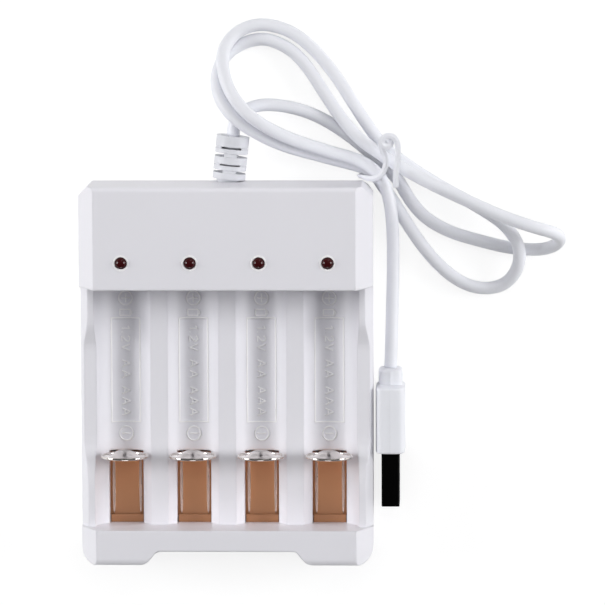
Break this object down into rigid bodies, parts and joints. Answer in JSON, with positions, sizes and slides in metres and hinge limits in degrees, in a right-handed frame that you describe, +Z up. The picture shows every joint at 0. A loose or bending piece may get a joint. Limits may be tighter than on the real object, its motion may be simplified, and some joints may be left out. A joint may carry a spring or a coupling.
{
  "type": "battery charger",
  "caption": "Flat plastic charger with a row of open half-round bays for AA or AAA cells, sprung sliding contacts, indicator lamps in its head and a USB lead with a tie.",
  "frame": {"origin": "on the table under the middle of the housing, which lies on its back", "axes": "+Z up out of the face, +Y towards the head and the lead, +X to the right seen from above"},
  "size_m": [0.1207, 0.1353, 0.0269],
  "materials": {
    "white_shell": "satin",
    "white_lead": "satin",
    "white_tie": "matte",
    "lamp_red": "gloss",
    "nickel": "polished",
    "spring_steel": "satin",
    "copper_strip": "satin",
    "board": "matte",
    "chip": "matte",
    "wire": "satin",
    "screw_steel": "satin",
    "black_shell": "gloss",
    "tongue": "matte",
    "gold_pin": "polished"
  },
  "bodies": {
    "housing": {"front_housing": "white_shell", "back_cover": "white_shell", "circuit_board": "board", "control_chip": "chip", "sense_resistors": "chip", "led_1": "lamp_red", "led_2": "lamp_red", "led_3": "lamp_red", "led_4": "lamp_red", "positive_contact_1": "nickel", "positive_contact_2": "nickel", "positive_contact_3": "nickel", "positive_contact_4": "nickel", "return_spring_1": "spring_steel", "return_spring_2": "spring_steel", "return_spring_3": "spring_steel", "return_spring_4": "spring_steel", "negative_bus": "copper_strip", "lead_wires": "wire", "cover_screws": "screw_steel", "strain_relief": "white_lead", "usb_cable": "white_lead", "plug_body": "white_lead", "plug_shell": "black_shell", "plug_tongue": "tongue", "plug_pins": "gold_pin", "twist_tie": "white_tie"},
    "slider_1": {"contact_disc_1": "nickel", "slide_strip_1": "copper_strip"},
    "slider_2": {"contact_disc_2": "nickel", "slide_strip_2": "copper_strip"},
    "slider_3": {"contact_disc_3": "nickel", "slide_strip_3": "copper_strip"},
    "slider_4": {"contact_disc_4": "nickel", "slide_strip_4": "copper_strip"}
  },
  "joints": [
    {"name": "slide_1", "type": "slide", "parent": "housing", "child": "slider_1", "axis": [0, -1, 0], "range_m": [0, 0.0072], "stiffness_N_per_m": 180, "springref_m": -0.004, "deforming": ["return_spring_1"]},
    {"name": "slide_2", "type": "slide", "parent": "housing", "child": "slider_2", "axis": [0, -1, 0], "range_m": [0, 0.0072], "stiffness_N_per_m": 180, "springref_m": -0.004, "deforming": ["return_spring_2"]},
    {"name": "slide_3", "type": "slide", "parent": "housing", "child": "slider_3", "axis": [0, -1, 0], "range_m": [0, 0.0072], "stiffness_N_per_m": 180, "springref_m": -0.004, "deforming": ["return_spring_3"]},
    {"name": "slide_4", "type": "slide", "parent": "housing", "child": "slider_4", "axis": [0, -1, 0], "range_m": [0, 0.0072], "stiffness_N_per_m": 180, "springref_m": -0.004, "deforming": ["return_spring_4"]}
  ]
}
